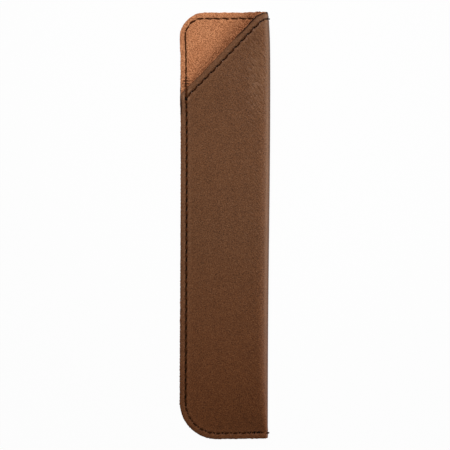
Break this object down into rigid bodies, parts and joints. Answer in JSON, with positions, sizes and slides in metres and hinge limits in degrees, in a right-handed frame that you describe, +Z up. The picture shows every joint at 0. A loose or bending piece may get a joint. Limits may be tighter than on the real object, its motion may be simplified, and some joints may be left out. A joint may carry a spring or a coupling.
{
  "type": "single pen sleeve",
  "caption": "Slim leatherette sleeve for a pen, folded along one side, sewn along the other and the bottom, with a diagonal mouth that shows the suede-like lining.",
  "frame": {"origin": "centre of the sleeve's bounding box, on the plane that the back panel lies on", "axes": "+Z up out of the front panel, +X towards the fold, +Y towards the mouth"},
  "size_m": [0.0337, 0.1588, 0.0087],
  "materials": {
    "leatherette": "dark brown leatherette, fine grain, low sheen",
    "suede": "tan suede-like nap",
    "thread": "dark brown twisted sewing thread"
  },
  "bodies": {
    "root": {"outer_skin": "leatherette", "suede_lining": "suede", "closing_needle_thread": "thread", "closing_bobbin_thread": "thread", "mouth_needle_thread": "thread", "mouth_bobbin_thread": "thread"}
  },
  "joints": []
}
